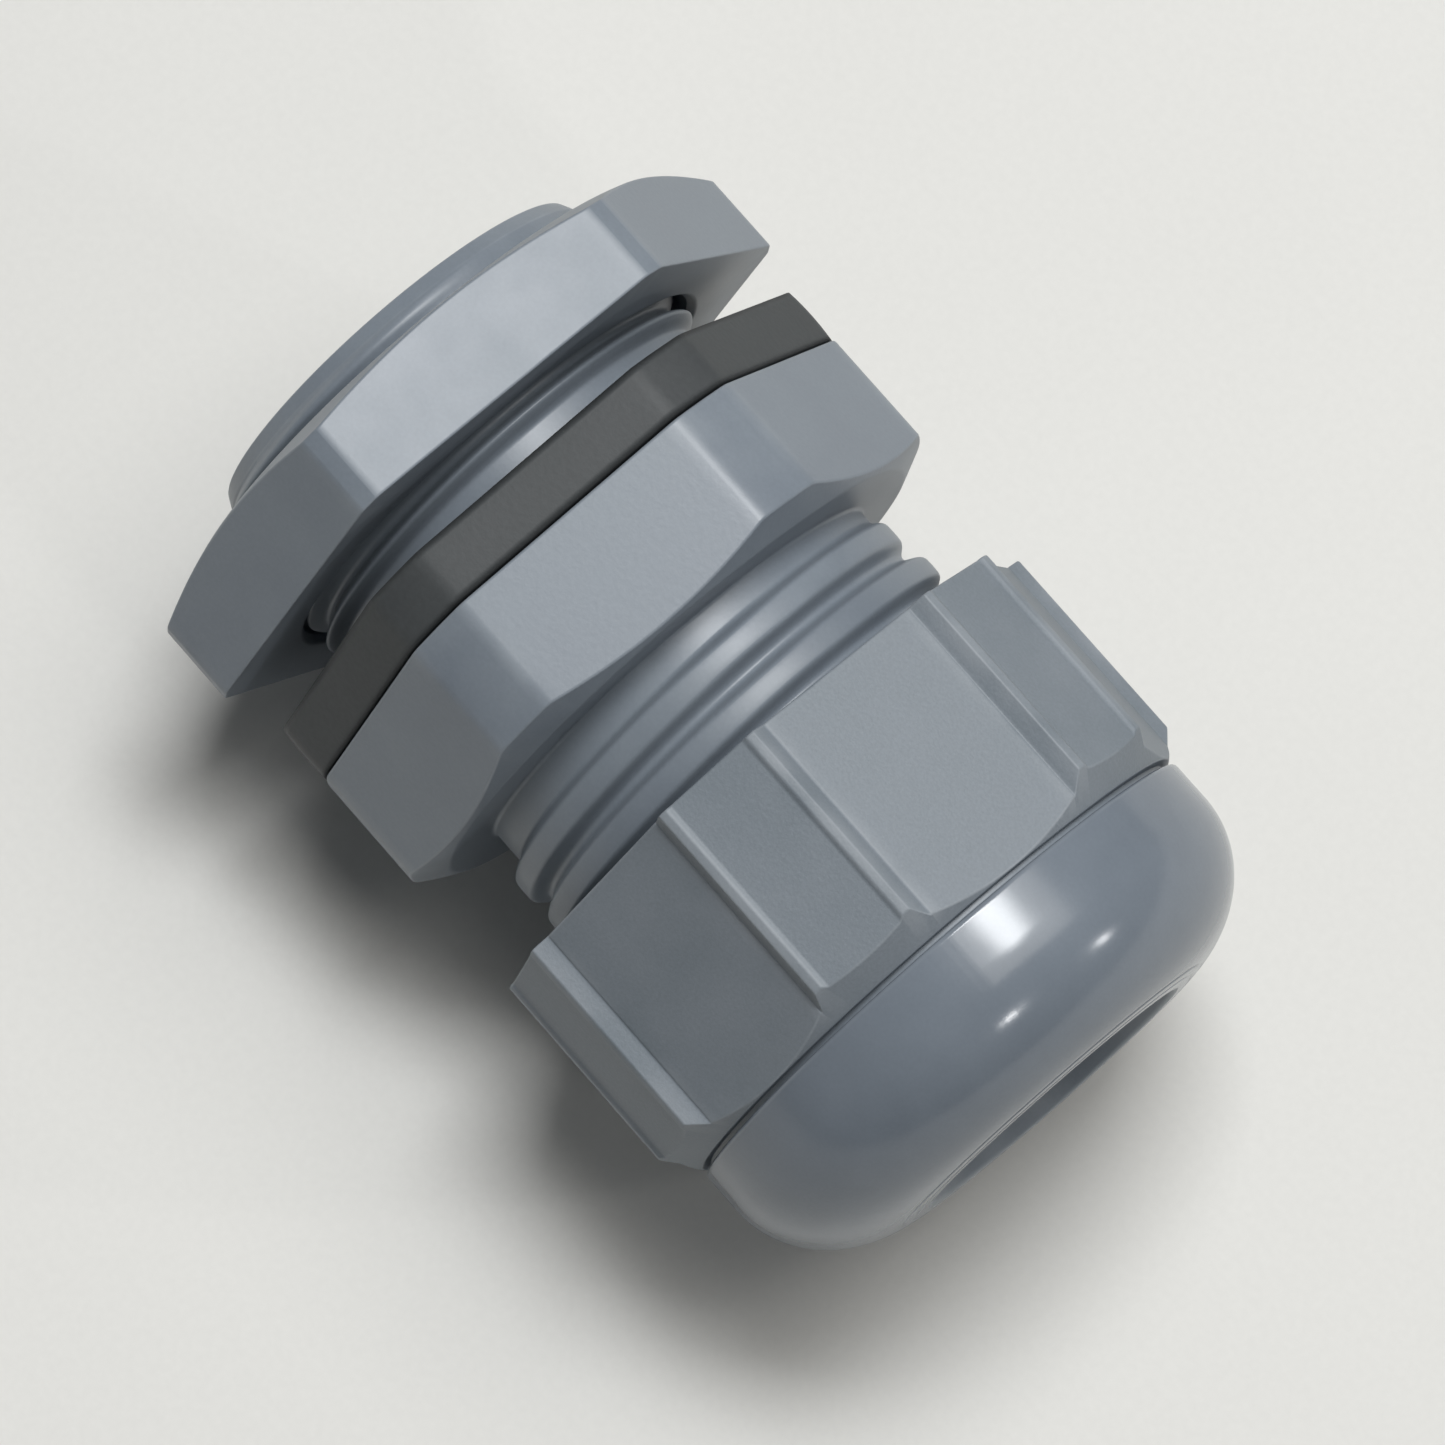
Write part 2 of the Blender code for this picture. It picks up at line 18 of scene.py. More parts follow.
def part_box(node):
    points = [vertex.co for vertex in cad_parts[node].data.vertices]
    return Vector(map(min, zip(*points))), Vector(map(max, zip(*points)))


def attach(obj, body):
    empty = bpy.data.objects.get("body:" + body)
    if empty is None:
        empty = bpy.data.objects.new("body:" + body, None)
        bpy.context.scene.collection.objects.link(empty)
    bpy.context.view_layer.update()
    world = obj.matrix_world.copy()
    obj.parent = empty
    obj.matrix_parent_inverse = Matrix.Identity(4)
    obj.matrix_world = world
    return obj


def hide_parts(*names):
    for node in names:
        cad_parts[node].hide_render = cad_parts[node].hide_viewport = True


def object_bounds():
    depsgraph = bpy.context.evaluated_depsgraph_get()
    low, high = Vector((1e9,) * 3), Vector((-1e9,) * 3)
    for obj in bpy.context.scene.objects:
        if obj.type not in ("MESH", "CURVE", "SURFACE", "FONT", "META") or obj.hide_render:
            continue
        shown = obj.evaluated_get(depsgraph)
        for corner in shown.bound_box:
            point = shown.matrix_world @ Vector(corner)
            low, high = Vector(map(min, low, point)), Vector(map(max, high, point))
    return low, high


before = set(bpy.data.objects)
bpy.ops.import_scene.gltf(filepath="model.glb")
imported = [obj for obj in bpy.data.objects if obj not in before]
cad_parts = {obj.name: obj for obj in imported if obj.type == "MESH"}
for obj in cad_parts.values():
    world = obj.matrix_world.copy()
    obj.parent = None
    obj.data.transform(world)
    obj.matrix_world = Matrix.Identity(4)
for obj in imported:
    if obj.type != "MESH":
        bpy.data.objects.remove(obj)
CAD_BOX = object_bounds()

LOG = logging.getLogger("cable_gland")
MM = 0.001
FULL_TURN = 2.0 * math.pi
WELD_STEP = 1e-7            # points closer than this, in metres, are one vertex
WELD_SHIFT = 0.3217         # keeps round numbers off the edges of the weld's cells
ROUND_COLUMNS = 180         # columns of a plain round piece
CORNER_STEPS = 4            # facets in each softened corner
OUTLINE_STEPS = 2           # facets in each softened corner of an outline
LAND_POINTS = 5             # points along each turned-down corner of a hexagon
EDGE_LAYER = "edge_wear"    # how much a point lies on a worn outer corner, 0 to 1


class MaterialSlot(Enum):
    """The record's material slots."""

    HOUSING = "grey_polyamide"
    GASKET = "dark_rubber"
    GLAND_RUBBER = "black_rubber"
    CAGE = "cage_polyamide"


class Zone(IntEnum):
    """Which of a moulding's finishes a row of faces takes."""

    SATIN = 0
    ERODED = 1
    POLISHED = 2


# ---------------------------------------------------------------- numbers


def srgb(colour: str) -> tuple[float, float, float, float]:
    """Turn an sRGB hex colour into linear RGBA.

    Args:
        colour: "#rrggbb".

    Returns:
        Linear red, green and blue, with alpha 1.
    """
    parts = [int(colour[i:i + 2], 16) / 255.0 for i in (1, 3, 5)]
    linear = [c / 12.92 if c <= 0.04045 else ((c + 0.055) / 1.055) ** 2.4 for c in parts]
    return (linear[0], linear[1], linear[2], 1.0)


def station(node: str, end: int) -> float:
    """Where a CAD node starts (end 0) or stops (end 1) along the gland, in millimetres."""
    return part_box(node)[end].x / MM


def outer_radius(node: str) -> float:
    """A CAD node's greatest reach from the axis along Y, in millimetres."""
    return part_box(node)[1].y / MM


def per_column(value: float | np.ndarray, columns: int) -> np.ndarray:
    """Spread a number over the columns, or pass on what is already one value per column."""
    return np.broadcast_to(np.asarray(value, float), (columns,)).copy()


def softened(before: np.ndarray, corner: np.ndarray, after: np.ndarray, reach: float,
             steps: int = CORNER_STEPS) -> np.ndarray:
    """Round a corner with the quadratic curve that leaves and meets its two sides.

    The curve is (1-s)^2 P + 2s(1-s) C + s^2 Q, with P and Q on the sides at the given reach from
    the corner C, or at under half of a side that is shorter.

    Args:
        before: The point before the corner, for each column.
        corner: The corner itself.
        after: The point after it.
        reach: How far from the corner the rounding starts.
        steps: Facets in the rounding.

    Returns:
        Points of shape (columns, steps + 1, 2).
    """
    back, ahead = before - corner, after - corner
    back_length = np.maximum(np.linalg.norm(back, axis=1), 1e-9)
    ahead_length = np.maximum(np.linalg.norm(ahead, axis=1), 1e-9)
    start = corner + back * (np.minimum(reach, 0.45 * back_length) / back_length)[:, None]
    end = corner + ahead * (np.minimum(reach, 0.45 * ahead_length) / ahead_length)[:, None]
    s = np.linspace(0.0, 1.0, steps + 1)[None, :, None]
    return ((1 - s) ** 2 * start[:, None] + 2 * s * (1 - s) * corner[:, None]
            + s ** 2 * end[:, None])


def clamp_blurred(value: np.ndarray, blur: float) -> np.ndarray:
    """Clamp to 0..1 with soft ends.

    The result is the mean of the plain clamp from value - blur to value + blur.

    Args:
        value: What to clamp.
        blur: How far the ends are softened.

    Returns:
        The clamped values, as the value's shape.
    """
    def area(t: np.ndarray) -> np.ndarray:
        return np.where(t < 0.0, 0.0, np.where(t > 1.0, t - 0.5, 0.5 * t * t))
    return (area(value + blur) - area(value - blur)) / (2.0 * blur)


# ---------------------------------------------------------------- surfaces


@dataclass
class Outline:
    """A star-shaped outline seen along the axis: one angle and one radius for each column.

    The angle runs from +Z towards +Y. The last column repeats the first, one full turn on.
    """

    angle: np.ndarray
    radius: np.ndarray

    @classmethod
    def round(cls, columns: int = ROUND_COLUMNS) -> "Outline":
        """A circle of radius 1 with evenly spaced columns."""
        angle = np.linspace(0.0, FULL_TURN, columns + 1)
        return cls(angle, np.ones_like(angle))

    @classmethod
    def polygon(cls, corners: list[tuple[float, float]], reach: float,
                widest_deg: float = 2.0) -> "Outline":
        """A polygon with softened corners, its sides divided evenly.

        Args:
            corners: (radius in mm, angle in degrees) in order of rising angle.
            reach: How far from each corner its rounding starts, in mm.
            widest_deg: The widest angle between two columns.

        Returns:
            The outline, closed by a repeat of its first column.
        """
        radius, angle = np.array(corners, float).T
        angle = np.radians(angle)
        points = np.stack([radius * np.sin(angle), radius * np.cos(angle)], axis=1)
        arcs = softened(np.roll(points, 1, axis=0), points, np.roll(points, -1, axis=0), reach,
                        OUTLINE_STEPS)
        pieces = []
        for arc, following in zip(arcs, np.roll(arcs, -1, axis=0)):
            ends = np.arctan2([arc[-1, 0], following[0, 0]], [arc[-1, 1], following[0, 1]])
            span = math.degrees((ends[1] - ends[0]) % FULL_TURN)
            count = max(1, math.ceil(span / widest_deg))
            share = np.linspace(0.0, 1.0, count + 1)[1:-1, None]
            pieces += [arc, arc[-1] * (1 - share) + following[0] * share]
        path = np.concatenate(pieces)
        turned = np.unwrap(np.arctan2(path[:, 0], path[:, 1]))
        reach_out = np.linalg.norm(path, axis=1)
        return cls(np.append(turned, turned[0] + FULL_TURN), np.append(reach_out, reach_out[0]))

    @classmethod
    def hexagon(cls, across_flats: float, corner_radius: float, reach: float,
                turn_deg: float = 0.0) -> "Outline":
        """A hexagon whose corners are turned down to a radius.

        A flat half as far out as across_flats meets the circle of radius r at
        acos(across_flats / 2r) from the flat's middle.

        Args:
            across_flats: The hexagon's width, in mm.
            corner_radius: The radius that its corners are turned down to, in mm.
            reach: How far from each edge its rounding starts, in mm.
            turn_deg: Where a flat's middle lies, from +Z away from +Y.

        Returns:
            The outline.
        """
        edge = math.degrees(math.acos(across_flats / 2.0 / corner_radius))
        land = np.linspace(edge, 60.0 - edge, LAND_POINTS)
        return cls.polygon([(corner_radius, 60.0 * i + a - turn_deg)
                            for i in range(6) for a in land], reach)


@dataclass
class Thread:
    """A right-handed ridge wound round the axis, as the CAD winds it.

    A ridge centre lies at shift + pitch * (n + 1/2 - angle / turn) for each whole n. Its section is
    a trapezoid with softened corners and a slight crown, and it fades in and out over a third of a
    turn.
    """

    pitch: float
    shift: float
    core: float
    crest: float
    root_width: float
    crest_width: float
    blur: float = 0.45
    crown: float = 0.1

    def rows(self, angle: np.ndarray, low: float, high: float, first: float,
             last: float) -> tuple[np.ndarray, np.ndarray]:
        """Rows that follow the helix in the middle and lie flat against both limits.

        Args:
            angle: The columns' angles.
            low: Where the rows start along the axis, in mm.
            high: Where they stop.
            first: Where the ridge's centre line starts.
            last: Where it stops.

        Returns:
            Places along the axis and radii, both (columns, rows), in mm.
        """
        lead = self.shift + self.pitch * (0.5 - angle / FULL_TURN)
        inner, outer, half = self.crest_width / 2, self.root_width / 2, self.pitch / 2
        side = np.concatenate([[0.35 * inner, 0.7 * inner, 0.88 * inner],
                               np.linspace(inner, outer, 6),
                               [outer + 0.25 * (half - outer), outer + 0.6 * (half - outer)]])
        offsets = np.concatenate([-side[::-1], [0.0], side, [half]])
        turns = np.arange(math.floor((low - lead.max()) / self.pitch) - 1,
                          math.ceil((high - lead.min()) / self.pitch) + 2) * self.pitch
        across = (turns[:, None] + offsets[None, :]).ravel()
        along = np.clip(lead[:, None] + across[None, :], low, high)
        number = np.round((along - lead[:, None]) / self.pitch)
        centre = lead[:, None] + number * self.pitch
        away = np.abs(along - centre)
        height = clamp_blurred((outer - away) / (outer - inner), self.blur)
        height = height * (1.0 - self.crown * np.minimum(away / outer, 1.0) ** 2)
        fade = np.clip(np.minimum(centre - first, last - centre) * 3.0 / self.pitch, 0.0, 1.0)
        fade = fade * fade * (3.0 - 2.0 * fade)
        return along, self.core + (self.crest - self.core) * height * fade


class TurnedShell:
    """A closed shell round the axis: a closed section swept through the columns of an outline.

    The section is a ring of corners and strips of ready rows, each with one place along the axis
    and one radius per column, so the section may change round the piece. The surface point is
    (x, r sin a, r cos a) for a column's angle a.
    """

    def __init__(self, outline: Outline) -> None:
        """Start an empty section on an outline's columns."""
        self.angle = outline.angle
        self.along: list[np.ndarray] = []
        self.radius: list[np.ndarray] = []
        self.reach: list[float] = []
        self.zones: list[int] = []

    def corner(self, along: float | np.ndarray, radius: float | np.ndarray, reach: float = 0.15,
               zone: Zone = Zone.SATIN) -> "TurnedShell":
        """Add a corner of the section.

        Args:
            along: Place along the axis, in mm.
            radius: Distance from the axis, in mm.
            reach: How far from the corner its rounding starts; 0 leaves it as it is.
            zone: The finish of the faces that follow it.

        Returns:
            The shell itself, so that corners can be chained.
        """
        columns = len(self.angle)
        self.along.append(per_column(along, columns))
        self.radius.append(per_column(radius, columns))
        self.reach.append(reach)
        self.zones.append(int(zone))
        return self

    def strip(self, along: np.ndarray, radius: np.ndarray,
              zone: Zone = Zone.SATIN) -> "TurnedShell":
        """Add ready rows, given as (columns, rows) or as one value per row."""
        columns = len(self.angle)
        shape = (columns, np.asarray(along).shape[-1])
        for x, r in zip(np.broadcast_to(along, shape).T, np.broadcast_to(radius, shape).T):
            self.corner(x, r, 0.0, zone)
        return self

    def section(self) -> tuple[np.ndarray, np.ndarray, np.ndarray]:
        """Soften the section's corners.

        Returns:
            Points (columns, rows, 2), the zone of each row, and how convex each row's corner is.
        """
        raw = np.stack([np.stack(self.along, 1), np.stack(self.radius, 1)], axis=2)
        mean = raw.mean(axis=0)
        step = np.roll(mean, -1, axis=0) - mean
        turn_way = np.sign(np.sum(mean[:, 0] * np.roll(mean[:, 1], -1)
                                  - mean[:, 1] * np.roll(mean[:, 0], -1)))
        before = np.roll(step, 1, axis=0)
        bend = (before[:, 0] * step[:, 1] - before[:, 1] * step[:, 0]) * turn_way
        rows, zones, wear = [], [], []
        count = raw.shape[1]
        for i in range(count):
            if self.reach[i] <= 0.0:
                rows.append(raw[:, i:i + 1])
                zones.append([self.zones[i]])
                wear.append([0.0])
                continue
            rows.append(softened(raw[:, i - 1], raw[:, i], raw[:, (i + 1) % count],
                                 self.reach[i]))
            zones.append([self.zones[i]] * (CORNER_STEPS + 1))
            bump = np.sin(np.linspace(0.0, math.pi, CORNER_STEPS + 1))
            wear.append(bump if bend[i] > 0 else 0.0 * bump)
        return np.concatenate(rows, axis=1), np.concatenate(zones), np.concatenate(wear)

    def build(self, name: str, corner_wear: np.ndarray | None = None) -> bpy.types.Object:
        """Make the shell's object.

        Args:
            name: The piece's name.
            corner_wear: How much each column lies on a worn outer corner, if any does.

        Returns:
            The new object, in place.
        """
        points, zones, wear = self.section()
        angle = self.angle[:, None]
        grid = np.stack([points[..., 0] + 0.0 * angle, points[..., 1] * np.sin(angle),
                         points[..., 1] * np.cos(angle)], axis=2) * MM
        worn = np.broadcast_to(wear[None, :], grid.shape[:2]).copy()
        if corner_wear is not None:
            outer = points[..., 1] > 0.93 * points[..., 1].max()
            worn = np.maximum(worn, corner_wear[:, None] * outer)
        return welded_grid(name, grid, worn, zones)


def welded_grid(name: str, grid: np.ndarray, worn: np.ndarray,
                zones: np.ndarray) -> bpy.types.Object:
    """Weld a grid that closes both ways into one mesh and give it normals weighted by area.

    Columns run from the first to its repeat one turn on; rows close on themselves. Points that
    meet become one vertex, and faces with no area are left out.

    Args:
        name: The object's name.
        grid: Points (columns, rows, 3) in metres.
        worn: The wear value of each point.
        zones: The material index of each row.

    Returns:
        The new object.
    """
    columns, rows, _ = grid.shape
    cells = np.round(grid.reshape(-1, 3) / WELD_STEP + WELD_SHIFT).astype(np.int64)
    _, first, index = np.unique(cells, axis=0, return_index=True, return_inverse=True)
    index = index.reshape(columns, rows)
    vertices = grid.reshape(-1, 3)[first]
    following = np.roll(np.arange(rows), -1)
    faces = np.stack([index[:-1], index[1:], index[1:][:, following], index[:-1][:, following]],
                     axis=2).reshape(-1, 4)
    zone = np.broadcast_to(zones[None, :], (columns - 1, rows)).ravel()
    return mesh_object(name, vertices, faces, worn.reshape(-1)[first], zone)


def mesh_object(name: str, vertices: np.ndarray, faces: np.ndarray, worn: np.ndarray,
                zone: np.ndarray) -> bpy.types.Object:
    """Make a closed mesh from quads, some of which may have two corners in one place.

    The faces are turned outwards by the sign of the volume they enclose. A vertex normal is the
    sum of its faces' normals, each as long as its face's area, so flats shade flat.

    Args:
        name: The object's name.
        vertices: (n, 3) points in metres.
        faces: (m, 4) vertex numbers.
        worn: The wear value of each vertex.
        zone: The material index of each face.

    Returns:
        The new object.
    """
    a, b, c, d = (vertices[faces[:, i]] for i in range(4))
    area = np.cross(c - a, d - b) / 2.0
    if np.sum(area * (a + b + c + d)) < 0.0:
        faces, area = faces[:, ::-1], -area
    same = faces == np.roll(faces, -1, axis=1)
    quads = ~same.any(axis=1)
    thirds = same.sum(axis=1) == 1
    lone = faces[thirds]
    kept = ~same[thirds]
    triangles = lone[kept].reshape(-1, 3) if len(lone) else np.empty((0, 3), int)
    distinct = ((triangles[:, 0] != triangles[:, 1]) & (triangles[:, 1] != triangles[:, 2])
                & (triangles[:, 2] != triangles[:, 0]))
    normals = np.zeros_like(vertices)
    for i in range(4):
        np.add.at(normals, faces[:, i], area)
    normals /= np.maximum(np.linalg.norm(normals, axis=1), 1e-20)[:, None]
    mesh = bpy.data.meshes.new(name)
    mesh.from_pydata(vertices, [], faces[quads].tolist() + triangles[distinct].tolist())
    mesh.polygons.foreach_set(
        "material_index",
        np.concatenate([zone[quads], zone[thirds][distinct]]).astype(np.int32))
    mesh.polygons.foreach_set("use_smooth", np.ones(len(mesh.polygons), bool))
    layer = mesh.attributes.new(EDGE_LAYER, "FLOAT", "POINT")
    layer.data.foreach_set("value", worn.astype(np.float32))
    mesh.update()
    mesh.normals_split_custom_set_from_vertices(normals)
    item = bpy.data.objects.new(name, mesh)
    bpy.context.scene.collection.objects.link(item)
    return item


def swept_block(name: str, section: np.ndarray, angles: np.ndarray, bevel: float,
                hub: float) -> bpy.types.Object:
    """Sweep a closed section through an arc round the axis and close both ends.

    The section shrinks towards its middle over the last step at each end, which bevels the ends,
    and is drawn in to its middle to close them.

    Args:
        name: The object's name.
        section: (rows, 2) places along the axis and radii, in mm.
        angles: The arc's stations, in radians.
        bevel: Width of the bevel at both ends, in mm.
        hub: The radius at which the bevel's angle is worked out, in mm.

    Returns:
        The new object.
    """
    middle = section.mean(axis=0)
    size = np.abs(section - middle).max(axis=0)
    small = middle + (section - middle) * (1.0 - bevel / size)
    tip = np.broadcast_to(middle, section.shape)
    lean = bevel / hub
    stations = np.concatenate([[angles[0]] * 2, [angles[0] + lean], angles[1:-1],
                               [angles[-1] - lean], [angles[-1]] * 2])
    inner = len(stations) - 4
    loops = np.stack([tip, small] + [section] * inner + [small, tip])
    turn = stations[:, None]
    grid = np.stack([loops[..., 0], loops[..., 1] * np.sin(turn), loops[..., 1] * np.cos(turn)],
                    axis=2) * MM
    zones = np.zeros(len(section), int)
    worn = np.zeros(grid.shape[:2])
    worn[[1, -2]] = 1.0
    return welded_grid(name, grid, worn, zones)


# ---------------------------------------------------------------- finishes


def add_node(tree: bpy.types.NodeTree, kind: str, settings: dict | None = None,
             inputs: dict | None = None) -> bpy.types.Node:
    """Add a node, set its properties, and set or link its inputs.

    Args:
        tree: The node tree.
        kind: The node's type.
        settings: Properties by name.
        inputs: By input name or number, a plain value or another node's output socket.

    Returns:
        The new node.
    """
    node = tree.nodes.new(kind)
    for name, value in (settings or {}).items():
        setattr(node, name, value)
    for key, value in (inputs or {}).items():
        if isinstance(value, bpy.types.NodeSocket):
            tree.links.new(value, node.inputs[key])
        else:
            node.inputs[key].default_value = value
    return node


@dataclass(frozen=True)
class MouldedFinish:
    """A moulded plastic or rubber: its colour, its gloss and the texture the mould left.

    Each grain size is the real size of one grain in millimetres.
    """

    name: str
    colour: str             # main colour
    cloud: str              # colour of the faint clouds that the melt's flow leaves
    rubbed: str             # colour of worn corners
    roughness: float
    roughness_spread: float
    grain_size: float       # texture of the mould's surface
    grain_depth: float      # height of that texture, in mm
    speck_size: float       # pigment and fine dust
    speck_share: float      # how far a speck changes the colour
    ior: float
    wear: float = 0.35      # how far worn corners take the rubbed colour
    cloud_size: float = 7.0

    def material(self) -> bpy.types.Material:
        """Build the finish's node tree once.

        Returns:
            The material.
        """
        ready = bpy.data.materials.get(self.name)
        if ready:
            return ready
        made = bpy.data.materials.new(self.name)
        made.use_nodes = True
        tree = made.node_tree
        tree.nodes.clear()
        place = add_node(tree, "ShaderNodeTexCoord").outputs["Object"]
        clouds = add_node(tree, "ShaderNodeTexNoise", {}, {
            "Vector": place, "Scale": 1.0 / (self.cloud_size * MM), "Detail": 3.0,
            "Roughness": 0.55})
        specks = add_node(tree, "ShaderNodeTexNoise", {}, {
            "Vector": place, "Scale": 1.0 / (self.speck_size * MM), "Detail": 1.5,
            "Roughness": 0.6})
        grain = add_node(tree, "ShaderNodeTexNoise", {}, {
            "Vector": place, "Scale": 1.0 / (self.grain_size * MM), "Detail": 2.0,
            "Roughness": 0.6})
        flow = add_node(tree, "ShaderNodeMapRange", {}, {
            "Value": clouds.outputs["Fac"], "From Min": 0.35, "From Max": 0.68})
        body = add_node(tree, "ShaderNodeMix", {"data_type": "RGBA"}, {
            "Factor": flow.outputs["Result"], 6: srgb(self.colour), 7: srgb(self.cloud)})
        spread = add_node(tree, "ShaderNodeMapRange", {}, {
            "Value": specks.outputs["Fac"], "From Min": 0.3, "From Max": 0.7,
            "To Min": 1.0 - self.speck_share, "To Max": 1.0 + self.speck_share})
        speckled = add_node(tree, "ShaderNodeVectorMath", {"operation": "SCALE"}, {
            0: body.outputs[2], "Scale": spread.outputs["Result"]})
        edge = add_node(tree, "ShaderNodeAttribute", {"attribute_name": EDGE_LAYER})
        patchy = add_node(tree, "ShaderNodeMath", {"operation": "MULTIPLY"}, {
            0: edge.outputs["Fac"], 1: flow.outputs["Result"]})
        worn = add_node(tree, "ShaderNodeMath", {"operation": "MULTIPLY"}, {
            0: patchy.outputs[0], 1: self.wear})
        colour = add_node(tree, "ShaderNodeMix", {"data_type": "RGBA"}, {
            "Factor": worn.outputs[0], 6: speckled.outputs[0], 7: srgb(self.rubbed)})
        gloss = add_node(tree, "ShaderNodeMapRange", {}, {
            "Value": clouds.outputs["Fac"], "From Min": 0.3, "From Max": 0.7,
            "To Min": self.roughness - self.roughness_spread,
            "To Max": self.roughness + self.roughness_spread})
        bump = add_node(tree, "ShaderNodeBump", {}, {
            "Height": grain.outputs["Fac"], "Strength": 1.0,
            "Distance": self.grain_depth * MM})
        shader = add_node(tree, "ShaderNodeBsdfPrincipled", {}, {
            "Base Color": colour.outputs[2], "Roughness": gloss.outputs["Result"],
            "Normal": bump.outputs["Normal"], "IOR": self.ior})
        add_node(tree, "ShaderNodeOutputMaterial", {}, {"Surface": shader.outputs["BSDF"]})
        return made


# Polyamide 6 without glass fibre, coloured through, from a fine-ground mould: a soft even satin.
SATIN_POLYAMIDE = MouldedFinish(
    name="polyamide_satin", colour="#737B84", cloud="#7C848C", rubbed="#959BA1",
    roughness=0.42, roughness_spread=0.05, grain_size=0.35, grain_depth=0.006,
    speck_size=0.22, speck_share=0.03, ior=1.53)
# The same polyamide from a spark-eroded mould: a dull, finely pebbled grip.
ERODED_POLYAMIDE = MouldedFinish(
    name="polyamide_spark_eroded", colour="#727A81", cloud="#7B8289", rubbed="#9BA0A5",
    roughness=0.55, roughness_spread=0.05, grain_size=0.2, grain_depth=0.014,
    speck_size=0.16, speck_share=0.05, ior=1.53, wear=0.5)
# The same polyamide from a polished mould: the dome, glossy enough to show the lights.
POLISHED_POLYAMIDE = MouldedFinish(
    name="polyamide_polished", colour="#6C747D", cloud="#747C85", rubbed="#8C9299",
    roughness=0.18, roughness_spread=0.03, grain_size=0.9, grain_depth=0.003,
    speck_size=0.2, speck_share=0.02, ior=1.53)
# Plain grey polyamide of the clamping cage, moulded: satin, a little waxy.
CAGE_POLYAMIDE = MouldedFinish(
    name="polyamide_cage", colour="#70777D", cloud="#797F84", rubbed="#8E9498",
    roughness=0.45, roughness_spread=0.05, grain_size=0.4, grain_depth=0.006,
    speck_size=0.25, speck_share=0.03, ior=1.53)
# Dark grey nitrile rubber of the flat gasket: dull, with a faint bloom.
NITRILE_GASKET = MouldedFinish(
    name="nitrile_rubber", colour="#383B3D", cloud="#424546", rubbed="#5A5D5F",
    roughness=0.62, roughness_spread=0.06, grain_size=0.3, grain_depth=0.012,
    speck_size=0.3, speck_share=0.06, ior=1.52, wear=0.4)
# Black chloroprene rubber of the sealing ring: smooth-moulded, slightly shiny.
CHLOROPRENE_RING = MouldedFinish(
    name="chloroprene_rubber", colour="#232425", cloud="#2B2C2D", rubbed="#3E4041",
    roughness=0.5, roughness_spread=0.06, grain_size=0.35, grain_depth=0.01,
    speck_size=0.3, speck_share=0.05, ior=1.52)


def dress(item: bpy.types.Object, finishes: list[MouldedFinish], body: str,
          nodes: list[str]) -> bpy.types.Object:
    """Give a piece its finishes and tie it to the frame.

    Args:
        item: The piece.
        finishes: One finish for each zone the piece uses.
        body: The CAD body it rides on.
        nodes: The CAD nodes it stands for.

    Returns:
        The piece.
    """
    for finish in finishes:
        item.data.materials.append(finish.material())
    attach(item, body)
    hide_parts(*nodes)
    LOG.info("%s: %d faces on %s", item.name, len(item.data.polygons), body)
    return item


# ---------------------------------------------------------------- pieces


